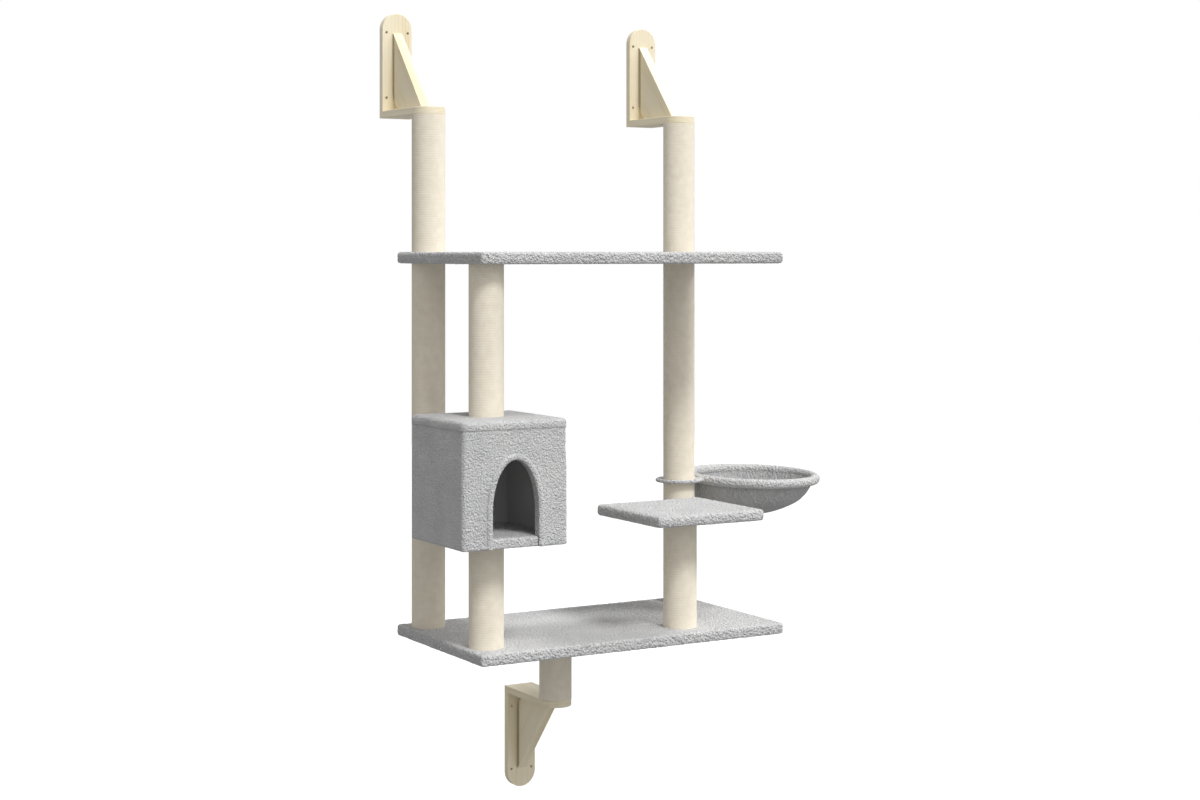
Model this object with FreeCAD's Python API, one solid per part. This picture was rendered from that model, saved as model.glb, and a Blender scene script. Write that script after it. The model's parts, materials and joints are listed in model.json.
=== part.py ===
import FreeCAD, Part
import math
import os

# A wall mounted cat tree: two boards, a small platform, a house and a swivelling basket on wrapped
# posts, held off the wall by three wooden brackets.
# Millimetres. X to the right, +Y into the wall, Z up. The origin is the middle of the lower wall
# plate's four screw holes, on the wall. All sizes are full sizes unless the name says radius.

os.makedirs("parts", exist_ok=True)
Vector = FreeCAD.Vector

# Posts
post_dia = 70.0                 # over the wrap
wrap_thickness = 1.5
tube_wall = 4.0
plug_length = 24.0
lower_post_length = 160.0
house_post_length = 210.0       # bottom board to house
platform_post_length = 228.0    # bottom board to small platform
basket_post_length = 271.0      # bottom board to the basket's eye plate
rear_post_length = 758.0        # board to board
top_post_length = 288.0         # upper board to the upper arms

# Where the posts stand
rear_row_to_wall = 170.0
row_spacing = 263.0             # rear row to front row
side_inset = 46.0               # side posts, from the boards' ends
rear_inset = 55.0               # rear row, from the boards' back edge
platform_post_inset = 211.0     # platform post, from the boards' right end
board_shift = 6.5               # boards' middle, to the right of the lower bracket

# Boards and platform
board_width = 710.0
board_depth = 390.0
platform_width = 250.0
platform_depth = 250.0
core_thickness = 15.0
plush_thickness = 3.0
board_corner_radius = 8.0
plush_edge_radius = 5.0

# Brackets
bracket_width = 69.0
bracket_board = 15.0            # thickness of plate and arm
hole_spacing_wide = 50.0
hole_spacing_tall = 140.0
wall_hole_dia = 6.0
round_end_margin = 41.0         # plate's round end, beyond the near pair of holes
square_end_margin = 44.0
gusset_thickness = 22.0
gusset_foot = 142.0             # along the arm
gusset_rise = 167.0             # along the plate
gusset_tip = 3.0                # blunt ends
gusset_corner_radius = 48.0
eased_edge = 1.2

# House
house_width = 225.0
house_shift = 4.3                # house's middle, to the right of the posts above and below it
house_depth = 233.0
house_height = 246.0
house_panel = 12.0
floor_core = 14.0
roof_core = 12.0
roof_overhang = 1.0
lining_thickness = 1.5
house_corner_radius = 6.0
arch_width = 100.0
arch_straight = 87.0            # top of the arch's upright sides, above the house's underside
arch_height = 170.0
trim_width = 13.0
trim_proud = 4.0
trim_reveal = 3.0               # plush on the cut edge of the doorway
trim_round = 2.8

# Basket
rim_radius = 144.0              # middle of the rim's tube
rim_sleeve_radius = 10.0
wire_radius = 2.5
weld_width = 8.0                # weld where the two rings of the hoop touch
weld_length = 12.0
weld_thickness = 3.0
loop_radius = 48.0              # middle of the small loop's tube
loop_sleeve_radius = 4.3
loop_web = 5.0                  # thickness of the loop's plush between tube and post
rim_droop = 1.0                 # degrees
bowl_radius = 141.0
bowl_depth = 84.0
bowl_wall = 4.0
bowl_side_curve = 62.0          # radius of the bowl's side, in section
eye_thickness = 2.0
swivel_gap = 0.5                # basket's plush to the post
eye_clearance = 0.1             # radial, eye plate to stud

# Fasteners
stud_dia = 8.0
insert_dia = 12.0
insert_length = 18.0
thread_depth = 16.0             # bolt or stud inside an insert
bolt_clearance = 0.4            # added to the diameter of every bolt hole
bolt_head_flats = 13.0
bolt_head_height = 5.3
washer_dia = 20.0
washer_thickness = 1.6
washer_clearance = 0.5          # radial, washer to the recess that sinks it in an arm
tee_flange_dia = 19.0
tee_flange_thickness = 1.4
tee_barrel_dia = 10.0
tee_barrel_relief = 4.0         # barrel stops this short of the core's near face
bracket_screw_dia = 4.0
bracket_screw_head = 8.0
bracket_screw_length = 45.0
arm_screw_spread = 40.0         # across the arm
gusset_screw_height = 70.0      # lower gusset screw, above the arm
gusset_screw_spacing = 45.0
house_screw_dia = 3.5
house_screw_head = 7.0
house_screw_length = 32.0
house_screw_margin = 40.0       # from the top and bottom of a panel
panel_screw_inset = 45.0        # roof and floor screws, from the house's front and back

# Worked out from the sizes above
board_thickness = core_thickness + 2 * plush_thickness
plate_length = square_end_margin + hole_spacing_tall + round_end_margin
lower_arm_top = hole_spacing_tall / 2 + square_end_margin
bottom_board_z = lower_arm_top + lower_post_length
post_floor_z = bottom_board_z + board_thickness
house_z = post_floor_z + house_post_length
house_top_z = house_z + house_height
platform_z = post_floor_z + platform_post_length
eye_z = post_floor_z + basket_post_length
upper_board_z = post_floor_z + rear_post_length
upper_board_top = upper_board_z + board_thickness
upper_arm_z = upper_board_top + top_post_length

rear_y = -rear_row_to_wall
front_y = rear_y - row_spacing
board_left = board_shift - board_width / 2
board_right = board_shift + board_width / 2
board_mid_y = rear_y + rear_inset - board_depth / 2
left_x = board_left + side_inset
right_x = board_right - side_inset
platform_x = board_right - platform_post_inset

post_radius = post_dia / 2
tube_radius = post_radius - wrap_thickness
plug_radius = tube_radius - tube_wall
stud_radius = stud_dia / 2
bolt_hole_radius = (stud_dia + bolt_clearance) / 2
bolt_recess = washer_thickness + bolt_head_height
arm_grip = bracket_board - bolt_recess
floor_thickness = floor_core + 2 * plush_thickness
roof_thickness = roof_core + 2 * plush_thickness
wall_top = house_height - roof_thickness        # above the house's underside
touch_x = loop_radius + wire_radius             # where the two rings touch
rim_offset = touch_x + wire_radius + rim_radius


def save(name, shape):
    shape.exportStep("parts/" + name + ".step")


def group(solids):
    return Part.makeCompound(solids)


def cylinder(radius, bottom, top, x=0, y=0):
    return Part.makeCylinder(radius, top - bottom, Vector(x, y, bottom))


def pipe(outer_radius, inner_radius, bottom, top, x=0, y=0):
    return cylinder(outer_radius, bottom, top, x, y).cut(cylinder(inner_radius, bottom, top, x, y))


def slab(width, depth, bottom, top, x=0, y=0):
    return Part.makeBox(width, depth, top - bottom, Vector(x - width / 2, y - depth / 2, bottom))


def upright_edges(shape):
    return [e for e in shape.Edges if e.BoundBox.XLength < 1e-6 and e.BoundBox.YLength < 1e-6]


def level_edges(shape):
    return [e for e in shape.Edges if e.BoundBox.ZLength < 1e-6]


def soft_slab(width, depth, bottom, top, corner, edge):
    """A slab with round corners in plan and rounded top and bottom edges, as plush pulls a board."""
    shape = slab(width, depth, bottom, top)
    shape = shape.makeFillet(corner, upright_edges(shape))
    return shape.makeFillet(min(edge, 0.45 * (top - bottom)), level_edges(shape))


def wood_screw(dia, head_dia, length):
    """A countersunk screw, its head's face at the origin, pointing along +Z."""
    radius, head = dia / 2, head_dia / 2
    outline = [
        Vector(0, 0, 0), Vector(head, 0, 0), Vector(radius, 0, head - radius),
        Vector(radius, 0, length - dia), Vector(0, 0, length), Vector(0, 0, 0),
    ]
    return Part.Face(Part.makePolygon(outline)).revolve(Vector(), Vector(0, 0, 1), 360)


def bolt_and_washer(grip):
    """A hex bolt along +Z whose washer seats on z = 0, reaching through the grip into an insert."""
    washer = pipe(washer_dia / 2, bolt_hole_radius, -washer_thickness, 0)
    corner = bolt_head_flats / math.sqrt(3)
    ring = [Vector(corner, 0, 0)]
    for step in range(1, 7):
        turn = math.radians(60 * step)
        ring.append(Vector(corner * math.cos(turn), corner * math.sin(turn), 0))
    head = Part.Face(Part.makePolygon(ring)).extrude(Vector(0, 0, bolt_head_height))
    head.translate(Vector(0, 0, -washer_thickness - bolt_head_height))
    shank = cylinder(stud_radius, -washer_thickness, grip + thread_depth)
    return head.fuse(shank), washer


def placed(shape, x, y, z, point_down=False):
    if point_down:
        shape.rotate(Vector(), Vector(1, 0, 0), 180)
    shape.translate(Vector(x, y, z))
    return shape


# Posts: every one is a cardboard tube with a glued wrap and a drilled plug at each end, and each plug
# holds a threaded insert.
posts = {
    "left_rear": (left_x, rear_y, post_floor_z, upper_board_z),
    "left_top": (left_x, rear_y, upper_board_top, upper_arm_z),
    "left_front_lower": (left_x, front_y, post_floor_z, house_z),
    "left_front_upper": (left_x, front_y, house_top_z, upper_board_z),
    "right_rear_lower": (right_x, rear_y, post_floor_z, eye_z),
    "right_rear_upper": (right_x, rear_y, eye_z + eye_thickness, upper_board_z),
    "right_top": (right_x, rear_y, upper_board_top, upper_arm_z),
    "right_front": (platform_x, front_y, post_floor_z, platform_z),
    "centre_bottom": (0, rear_y, lower_arm_top, bottom_board_z),
}
plugs = []
inserts = []


def end_plug(x, y, end_z, inward):
    """Plug and insert at one end of a post; inward is +1 at its lower end and -1 at its upper."""
    low, high = sorted([end_z, end_z + inward * plug_length])
    pocket_low, pocket_high = sorted([end_z, end_z + inward * insert_length])
    plug = pipe(plug_radius, stud_radius, low, high, x, y)
    plug = plug.cut(cylinder(insert_dia / 2, pocket_low, pocket_high, x, y))
    insert = pipe(insert_dia / 2, stud_radius, pocket_low, pocket_high, x, y)
    return plug, insert


for name, (x, y, low, high) in posts.items():
    save(name + "_tube", pipe(tube_radius, plug_radius, low, high, x, y))
    save(name + "_wrap", pipe(post_radius, tube_radius, low, high, x, y))
    for end_z, inward in ((low, 1), (high, -1)):
        plug, insert = end_plug(x, y, end_z, inward)
        plugs.append(plug)
        inserts.append(insert)
save("post_end_plugs", group(plugs))
save("insert_nuts", group(inserts))

# Studs that join post to post, and posts to the boards above them through tee nuts
bolts = []
washers = []
studs = []
tee_nuts = []


def add_bolt(x, y, z, grip, point_down=False):
    bolt, washer = bolt_and_washer(grip)
    bolts.append(placed(bolt, x, y, z, point_down))
    washers.append(placed(washer, x, y, z, point_down))


def add_double_stud(x, y, low, high):
    studs.append(cylinder(stud_radius, low - thread_depth, high + thread_depth, x, y))


def tee_nut_envelope(core_top, x, y):
    flange = cylinder(tee_flange_dia / 2, core_top - tee_flange_thickness, core_top, x, y)
    barrel_foot = core_top - core_thickness + tee_barrel_relief
    return flange.fuse(cylinder(tee_barrel_dia / 2, barrel_foot, core_top, x, y)).removeSplitter()


def add_tee_nut(board_z, x, y):
    core_top = board_z + plush_thickness + core_thickness
    nut = tee_nut_envelope(core_top, x, y)
    tee_nuts.append(nut.cut(cylinder(stud_radius, board_z, core_top, x, y)))
    studs.append(cylinder(stud_radius, board_z - thread_depth, core_top, x, y))


def covered_board(name, width, depth, x, y, z, bolt_places, tee_places):
    """A wood core inside a plush cover, bored for its bolts and let in for its tee nuts."""
    core_low, core_high = z + plush_thickness, z + plush_thickness + core_thickness
    core = slab(width - 2 * plush_thickness, depth - 2 * plush_thickness, core_low, core_high, x, y)
    cover = soft_slab(width, depth, z, z + board_thickness, board_corner_radius, plush_edge_radius)
    cover.translate(Vector(x, y, 0))
    cover = cover.cut(core)
    for px, py in bolt_places:
        hole = cylinder(bolt_hole_radius, z, z + board_thickness, px, py)
        core = core.cut(hole)
        cover = cover.cut(hole)
    for px, py in tee_places:
        hole = cylinder(bolt_hole_radius, z, core_high, px, py)
        core = core.cut(hole).cut(tee_nut_envelope(core_high, px, py))
        cover = cover.cut(hole)
        add_tee_nut(z, px, py)
    save(name + "_core", core)
    save(name + "_cover", cover)


bottom_bolts = [(left_x, rear_y), (right_x, rear_y), (left_x, front_y), (platform_x, front_y)]
upper_studs = [(left_x, rear_y), (right_x, rear_y)]
covered_board("bottom_board", board_width, board_depth, board_shift, board_mid_y, bottom_board_z,
              bottom_bolts, [(0, rear_y)])
covered_board("upper_board", board_width, board_depth, board_shift, board_mid_y, upper_board_z,
              upper_studs, [(left_x, front_y)])
covered_board("platform", platform_width, platform_depth, platform_x, front_y, platform_z,
              [], [(platform_x, front_y)])
for x, y in bottom_bolts:
    add_bolt(x, y, bottom_board_z, board_thickness)
for x, y in upper_studs:
    add_double_stud(x, y, upper_board_z, upper_board_top)
add_double_stud(right_x, rear_y, eye_z, eye_z + eye_thickness)


# Brackets, drawn upright: the wall is y = 0, the plate's square end and the arm's post face are z = 0
def plate_outline():
    half = bracket_width / 2
    shoulder = plate_length - half
    return Part.Face(Part.Wire([
        Part.LineSegment(Vector(-half, 0, shoulder), Vector(-half, 0, 0)).toShape(),
        Part.LineSegment(Vector(-half, 0, 0), Vector(half, 0, 0)).toShape(),
        Part.LineSegment(Vector(half, 0, 0), Vector(half, 0, shoulder)).toShape(),
        Part.Arc(Vector(half, 0, shoulder), Vector(0, 0, plate_length),
                 Vector(-half, 0, shoulder)).toShape(),
    ]))


def wall_plate():
    plate = plate_outline().extrude(Vector(0, -bracket_board, 0))
    front = [e for e in plate.Edges if abs(e.BoundBox.YMax + bracket_board) < 1e-6]
    plate = plate.makeFillet(eased_edge, [e for e in front if e.BoundBox.ZMax > 1e-6])
    for side in (-1, 1):
        for z in (square_end_margin, square_end_margin + hole_spacing_tall):
            place = Vector(side * hole_spacing_wide / 2, 0, z)
            plate = plate.cut(Part.makeCylinder(wall_hole_dia / 2, bracket_board, place,
                                                Vector(0, -1, 0)))
    return plate


def bracket_arm():
    half = bracket_width / 2
    face = Part.Face(Part.Wire([
        Part.LineSegment(Vector(-half, rear_y, 0), Vector(-half, -bracket_board, 0)).toShape(),
        Part.LineSegment(Vector(-half, -bracket_board, 0), Vector(half, -bracket_board, 0)).toShape(),
        Part.LineSegment(Vector(half, -bracket_board, 0), Vector(half, rear_y, 0)).toShape(),
        Part.Arc(Vector(half, rear_y, 0), Vector(0, rear_y - half, 0),
                 Vector(-half, rear_y, 0)).toShape(),
    ]))
    arm = face.extrude(Vector(0, 0, bracket_board))
    outer = [e for e in level_edges(arm) if e.BoundBox.YMin < -bracket_board - 1e-6]
    arm = arm.makeFillet(eased_edge, outer)
    recess_radius = washer_dia / 2 + washer_clearance
    arm = arm.cut(cylinder(recess_radius, arm_grip, bracket_board, 0, rear_y))
    return arm.cut(cylinder(bolt_hole_radius, 0, arm_grip, 0, rear_y))


def gusset():
    foot_z = bracket_board
    plate_y = -bracket_board
    radius = gusset_corner_radius
    toe_y = plate_y - gusset_foot
    head_z = foot_z + gusset_rise
    corner = radius * (1 - math.sqrt(0.5))
    points = [
        Vector(0, plate_y, foot_z + radius), Vector(0, plate_y, head_z),
        Vector(0, plate_y - gusset_tip, head_z), Vector(0, toe_y, foot_z + gusset_tip),
        Vector(0, toe_y, foot_z), Vector(0, plate_y - radius, foot_z),
    ]
    edges = [Part.LineSegment(a, b).toShape() for a, b in zip(points, points[1:])]
    edges.append(Part.Arc(points[-1], Vector(0, plate_y - corner, foot_z + corner),
                          points[0]).toShape())
    body = Part.Face(Part.Wire(edges)).extrude(Vector(gusset_thickness, 0, 0))
    body.translate(Vector(-gusset_thickness / 2, 0, 0))
    run = math.hypot(gusset_foot - gusset_tip, gusset_rise - gusset_tip)
    slope = [e for e in body.Edges if abs(e.Length - run) < 1e-3]
    return body.makeFillet(eased_edge, slope)


def bracket_screw_set():
    screws = []
    heights = (gusset_screw_height, gusset_screw_height + gusset_screw_spacing)
    places = [(0, bracket_board + height) for height in heights]
    places += [(side * arm_screw_spread / 2, bracket_board / 2) for side in (-1, 1)]
    for x, z in places:
        screw = wood_screw(bracket_screw_dia, bracket_screw_head, bracket_screw_length)
        screw.rotate(Vector(), Vector(1, 0, 0), 90)
        screw.translate(Vector(x, 0, z))
        screws.append(screw)
    return screws


bracket_screws = []
for name, x, z, upside_down in (("left", left_x, upper_arm_z, False),
                                ("right", right_x, upper_arm_z, False),
                                ("lower", 0, lower_arm_top, True)):
    screws = bracket_screw_set()
    pieces = {"wall_plate": wall_plate(), "arm": bracket_arm(), "gusset": gusset()}
    for key in pieces:
        for screw in screws:
            pieces[key] = pieces[key].cut(screw)
    for shape in list(pieces.values()) + screws:
        if upside_down:
            shape.rotate(Vector(), Vector(0, 1, 0), 180)
        shape.translate(Vector(x, 0, z))
    for key, shape in pieces.items():
        save(name + "_" + key, shape)
    bracket_screws += screws
    seat_z = z - arm_grip if upside_down else z + arm_grip
    add_bolt(x, rear_y, seat_z, arm_grip, point_down=not upside_down)
save("bracket_screws", group(bracket_screws))


# House, drawn about its own middle with its underside at z = 0 and its front at -Y
shell_width = house_width - 2 * plush_thickness
shell_depth = house_depth - 2 * plush_thickness
room_width = shell_width - 2 * house_panel
room_depth = shell_depth - 2 * house_panel


def arch_face(grow, bottom):
    """The doorway's outline in the plane y = 0, made larger by grow at its sides and top."""
    half = arch_width / 2 + grow
    rise = arch_height - arch_straight + grow
    left, right = Vector(-half, 0, arch_straight), Vector(half, 0, arch_straight)
    centre, top = Vector(0, 0, arch_straight), Vector(0, 0, arch_straight + rise)
    if rise > half:
        curve = Part.ArcOfEllipse(Part.Ellipse(top, right, centre), -math.pi / 2, math.pi / 2)
    else:
        curve = Part.ArcOfEllipse(Part.Ellipse(right, top, centre), 0, math.pi)
    low_left, low_right = Vector(-half, 0, bottom), Vector(half, 0, bottom)
    edges = [curve.toShape()]
    for a, b in ((left, low_left), (low_left, low_right), (low_right, right)):
        edges.append(Part.LineSegment(a, b).toShape())
    return Part.Face(Part.Wire(Part.__sortEdges__(edges)))


def arch_block(grow, bottom, front, back):
    block = arch_face(grow, bottom).extrude(Vector(0, back - front, 0))
    block.translate(Vector(0, front, 0))
    return block


def house_trim():
    """Plush roll round the doorway and the strip that covers the panel's cut edge."""
    front = -house_depth / 2
    back = -room_depth / 2 + lining_thickness
    roll = arch_block(trim_width, 0, front - trim_proud, front)
    roll = roll.cut(arch_block(0, 0, front - trim_proud, front))
    face_edges = [e for e in roll.Edges
                  if abs(e.BoundBox.YMax - (front - trim_proud)) < 1e-6 and e.BoundBox.ZMax > 1e-6]
    roll = roll.makeFillet(trim_round, face_edges)
    strip = arch_block(trim_reveal, 0, front, back).cut(arch_block(0, 0, front, back))
    strip = strip.cut(slab(shell_width, shell_depth, 0, floor_thickness))
    return roll.fuse(strip).removeSplitter()


doorway = arch_block(trim_reveal, 0, -house_depth, 0)
bolt_hole = cylinder(bolt_hole_radius, 0, house_height, -house_shift)
side_x = (shell_width - house_panel) / 2
end_y = (shell_depth - house_panel) / 2
left_panel = slab(house_panel, shell_depth, floor_thickness, wall_top, -side_x)
right_panel = slab(house_panel, shell_depth, floor_thickness, wall_top, side_x)
front_panel = slab(room_width, house_panel, floor_thickness, wall_top, 0, -end_y).cut(doorway)
back_panel = slab(room_width, house_panel, floor_thickness, wall_top, 0, end_y)
floor_board = slab(shell_width - 2 * plush_thickness, shell_depth - 2 * plush_thickness,
                   plush_thickness, plush_thickness + floor_core)
roof_low = wall_top + plush_thickness
roof_width = house_width + 2 * roof_overhang
roof_depth = house_depth + 2 * roof_overhang
roof_board = slab(roof_width - 2 * plush_thickness, roof_depth - 2 * plush_thickness,
                  roof_low, roof_low + roof_core)

house_screws = []


def add_house_screw(x, y, z, axis, turn):
    screw = wood_screw(house_screw_dia, house_screw_head, house_screw_length)
    screw.rotate(Vector(), axis, turn)
    screw.translate(Vector(x, y, z))
    house_screws.append(screw)


for side in (-1, 1):
    for end in (-1, 1):
        for z in (floor_thickness + house_screw_margin, wall_top - house_screw_margin):
            add_house_screw(side * shell_width / 2, end * end_y, z, Vector(0, 1, 0), -90 * side)
        y = end * (shell_depth / 2 - panel_screw_inset)
        add_house_screw(side * side_x, y, plush_thickness, Vector(1, 0, 0), 0)
        add_house_screw(side * side_x, y, roof_low + roof_core, Vector(1, 0, 0), 180)

floor_cover = slab(shell_width, shell_depth, 0, floor_thickness).cut(floor_board)
roof_cover = soft_slab(roof_width, roof_depth, wall_top, house_height, board_corner_radius,
                       plush_edge_radius).cut(roof_board)
lining = slab(room_width, room_depth, floor_thickness, wall_top)
lining = lining.cut(slab(room_width - 2 * lining_thickness, room_depth - 2 * lining_thickness,
                         floor_thickness, wall_top - lining_thickness)).cut(doorway)
body_cover = slab(house_width, house_depth, 0, wall_top)
body_cover = body_cover.makeFillet(house_corner_radius, upright_edges(body_cover))
body_cover = body_cover.cut(slab(shell_width, shell_depth, 0, wall_top)).cut(doorway)

house_pieces = {
    "house_left_panel": left_panel,
    "house_right_panel": right_panel,
    "house_front_panel": front_panel,
    "house_back_panel": back_panel,
    "house_floor_panel": floor_board,
    "house_floor_cover": floor_cover,
    "house_roof_panel": roof_board,
    "house_roof_cover": roof_cover,
    "house_lining": lining,
    "house_body_cover": body_cover,
    "house_arch_trim": house_trim(),
}
house_place = Vector(left_x + house_shift, front_y, house_z)
for name, shape in house_pieces.items():
    for screw in house_screws:
        shape = shape.cut(screw)
    shape = shape.cut(bolt_hole)
    shape.translate(house_place)
    save(name, shape)
for screw in house_screws:
    screw.translate(house_place)
save("house_screws", group(house_screws))
add_bolt(left_x, front_y, house_z + floor_thickness, floor_thickness, point_down=True)
add_bolt(left_x, front_y, house_z + wall_top - lining_thickness, lining_thickness + roof_thickness)

save("post_bolts", group(bolts))
save("post_washers", group(washers))
save("joining_studs", group(studs))
save("tee_nuts", group(tee_nuts))


# Basket, drawn with the right rear post's axis as Z and the middle of the eye plate at z = 0. The rim
# and bowl droop a little about the point where the two rings of the hoop touch.
def turned(outline):
    return Part.Face(Part.Wire(outline)).revolve(Vector(), Vector(0, 0, 1), 360)


def ring(middle_radius, tube_radius):
    return turned([Part.Circle(Vector(middle_radius, 0, 0), Vector(0, 1, 0), tube_radius).toShape()])


def on_rim(shape):
    shape.translate(Vector(rim_offset, 0, 0))
    shape.rotate(Vector(touch_x, 0, 0), Vector(0, 1, 0), rim_droop)
    return shape


def loop_plush():
    """Sleeve round the small loop with a flat web that reaches in to the post."""
    inner, half = post_radius + swivel_gap, loop_web / 2
    joint = loop_radius - math.sqrt(loop_sleeve_radius ** 2 - half ** 2)
    corners = [Vector(joint, 0, half), Vector(inner, 0, half), Vector(inner, 0, -half),
               Vector(joint, 0, -half)]
    outline = [Part.LineSegment(a, b).toShape() for a, b in zip(corners, corners[1:])]
    outline.append(Part.Arc(corners[-1], Vector(loop_radius + loop_sleeve_radius, 0, 0),
                            corners[0]).toShape())
    return turned(outline)


def basket_bowl():
    """An even shell whose section is a tight side arc running into a wide bottom arc; its top edge
    hugs the rim's sleeve."""
    side = bowl_side_curve
    bottom = ((bowl_radius ** 2 + bowl_depth ** 2 - 2 * bowl_radius * side)
              / (2 * (bowl_depth - side)))
    side_centre = Vector(bowl_radius - side, 0, 0)
    bottom_centre = Vector(0, 0, bottom - bowl_depth)
    outward = (side_centre - bottom_centre).normalize()
    outline = []
    for inset in (0, bowl_wall):
        rim_point = side_centre + Vector(side - inset, 0, 0)
        side_middle = side_centre + (outward + Vector(1, 0, 0)).normalize() * (side - inset)
        join = side_centre + outward * (side - inset)
        bottom_middle = bottom_centre + (outward + Vector(0, 0, -1)).normalize() * (bottom - inset)
        pole = bottom_centre - Vector(0, 0, bottom - inset)
        outline.append(Part.Arc(rim_point, side_middle, join).toShape())
        outline.append(Part.Arc(join, bottom_middle, pole).toShape())
        outline.append((rim_point, pole))
    outer_rim, outer_pole = outline.pop(2)
    inner_rim, inner_pole = outline.pop()
    outline.append(Part.LineSegment(outer_rim, inner_rim).toShape())
    outline.append(Part.LineSegment(outer_pole, inner_pole).toShape())
    section = Part.Face(Part.Wire(Part.__sortEdges__(outline)))
    sleeve = Part.Circle(Vector(rim_radius, 0, 0), Vector(0, 1, 0), rim_sleeve_radius).toShape()
    section = section.cut(Part.Face(Part.Wire(sleeve)))
    below = max(section.Faces, key=lambda face: face.Area)
    return on_rim(below.revolve(Vector(), Vector(0, 0, 1), 360))


small_ring = ring(loop_radius, wire_radius)
eye_plate = pipe(loop_radius, stud_radius + eye_clearance, -eye_thickness / 2, eye_thickness / 2)
eye_plate = eye_plate.cut(small_ring)
weld = slab(weld_width, weld_length, -weld_thickness / 2, weld_thickness / 2, touch_x)
hoop = on_rim(ring(rim_radius, wire_radius)).fuse(weld).fuse(small_ring)
loop_sleeve = loop_plush()
rim_sleeve = on_rim(ring(rim_radius, rim_sleeve_radius)).cut(loop_sleeve).cut(hoop)
basket_pieces = {
    "basket_eye_plate": eye_plate,
    "basket_hoop_wire": hoop,
    "basket_rim_sleeve": rim_sleeve,
    "basket_loop_sleeve": loop_sleeve.cut(hoop).cut(eye_plate),
    "basket_bowl": basket_bowl(),
}
for name, shape in basket_pieces.items():
    shape.translate(Vector(right_x, rear_y, eye_z + eye_thickness / 2))
    save(name, shape)
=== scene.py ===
import json
import math

import bpy
from mathutils import Matrix, Vector


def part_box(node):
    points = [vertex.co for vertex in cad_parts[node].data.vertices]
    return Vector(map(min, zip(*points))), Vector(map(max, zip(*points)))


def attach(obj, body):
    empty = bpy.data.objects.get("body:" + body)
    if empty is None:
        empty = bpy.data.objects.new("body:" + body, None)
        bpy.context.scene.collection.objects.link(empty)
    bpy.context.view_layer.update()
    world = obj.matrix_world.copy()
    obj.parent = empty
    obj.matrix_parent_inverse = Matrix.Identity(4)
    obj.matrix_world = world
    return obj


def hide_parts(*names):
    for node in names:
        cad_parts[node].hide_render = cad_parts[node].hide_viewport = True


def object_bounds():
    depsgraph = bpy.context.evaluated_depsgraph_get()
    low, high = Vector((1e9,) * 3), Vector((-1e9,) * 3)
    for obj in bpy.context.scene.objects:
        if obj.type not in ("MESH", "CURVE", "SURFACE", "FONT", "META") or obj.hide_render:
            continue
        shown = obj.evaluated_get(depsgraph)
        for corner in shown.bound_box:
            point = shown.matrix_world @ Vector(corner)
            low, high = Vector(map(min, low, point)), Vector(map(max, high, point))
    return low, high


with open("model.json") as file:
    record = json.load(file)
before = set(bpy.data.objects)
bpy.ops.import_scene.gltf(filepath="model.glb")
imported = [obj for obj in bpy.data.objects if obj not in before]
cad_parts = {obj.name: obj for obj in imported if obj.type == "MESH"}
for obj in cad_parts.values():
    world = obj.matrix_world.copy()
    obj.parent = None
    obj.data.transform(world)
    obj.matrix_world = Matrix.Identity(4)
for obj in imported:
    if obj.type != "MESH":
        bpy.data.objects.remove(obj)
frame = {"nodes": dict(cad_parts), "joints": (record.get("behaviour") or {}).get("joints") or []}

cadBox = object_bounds()


def hexToLinear(code):
    channels = [int(code[i:i + 2], 16) / 255 for i in (1, 3, 5)]
    return tuple(c / 12.92 if c <= 0.04045 else ((c + 0.055) / 1.055) ** 2.4 for c in channels) + (1,)


def addNode(tree, kind, inputs=None, **settings):
    node = tree.nodes.new("ShaderNode" + kind)
    for name, value in settings.items():
        setattr(node, name, value)
    for key, value in (inputs or {}).items():
        if isinstance(value, bpy.types.NodeSocket):
            tree.links.new(value, node.inputs[key])
        else:
            node.inputs[key].default_value = value
    return node


def startMaterial(name, **shader):
    material = bpy.data.materials.new(name)
    material.use_nodes = True
    tree = material.node_tree
    principled = tree.nodes["Principled BSDF"]
    for key, value in shader.items():
        principled.inputs[key.replace("_", " ")].default_value = value
    return material, tree, principled


def setRamp(node, stops):
    ramp, stops = node.color_ramp, list(stops)
    while len(ramp.elements) < len(stops):
        ramp.elements.new(0.5)
    for element, (place, colour) in zip(ramp.elements, stops):
        element.position = place
        element.color = hexToLinear(colour)


def waveScale(lineMm):
    # at scale 1 a Wave texture repeats every 2 pi / 20 metres
    return 2 * math.pi * 1000 / lineMm / 20


def objectMode():
    bpy.ops.object.mode_set(mode="OBJECT")


def editMode():
    bpy.ops.object.mode_set(mode="EDIT")


def clearSelection():
    if bpy.context.object and bpy.context.object.mode != "OBJECT":
        objectMode()
    bpy.ops.object.select_all(action="DESELECT")


def focus(piece):
    clearSelection()
    piece.select_set(True)
    bpy.context.view_layer.objects.active = piece


def editAll(piece):
    focus(piece)
    editMode()
    bpy.ops.mesh.select_all(action="SELECT")


def startChoice(piece, kind):
    # clears the mesh's selection, for points, edges or faces to be chosen by their place
    focus(piece)
    editMode()
    bpy.ops.mesh.select_mode(type=kind)
    bpy.ops.mesh.select_all(action="DESELECT")
    objectMode()


def editPoints(piece, test):
    startChoice(piece, "VERT")
    for point in piece.data.vertices:
        point.select = bool(test(point.co))
    editMode()


def editEdges(piece, test):
    startChoice(piece, "EDGE")
    points = piece.data.vertices
    for edge in piece.data.edges:
        a, b = (points[i].co for i in edge.vertices)
        edge.select = bool(test(a, b))
    editMode()


def editFaces(piece, test):
    startChoice(piece, "FACE")
    for face in piece.data.polygons:
        face.select = bool(test(face.center, face.normal))
    editMode()


def cutLevel(height, side):
    # in edit mode: drops what is above (1) or below (-1) a height, and closes the cut
    bpy.ops.mesh.select_all(action="SELECT")
    bpy.ops.mesh.bisect(plane_co=(0, 0, height), plane_no=(0, 0, side), use_fill=True,
                        clear_outer=True)


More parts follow.
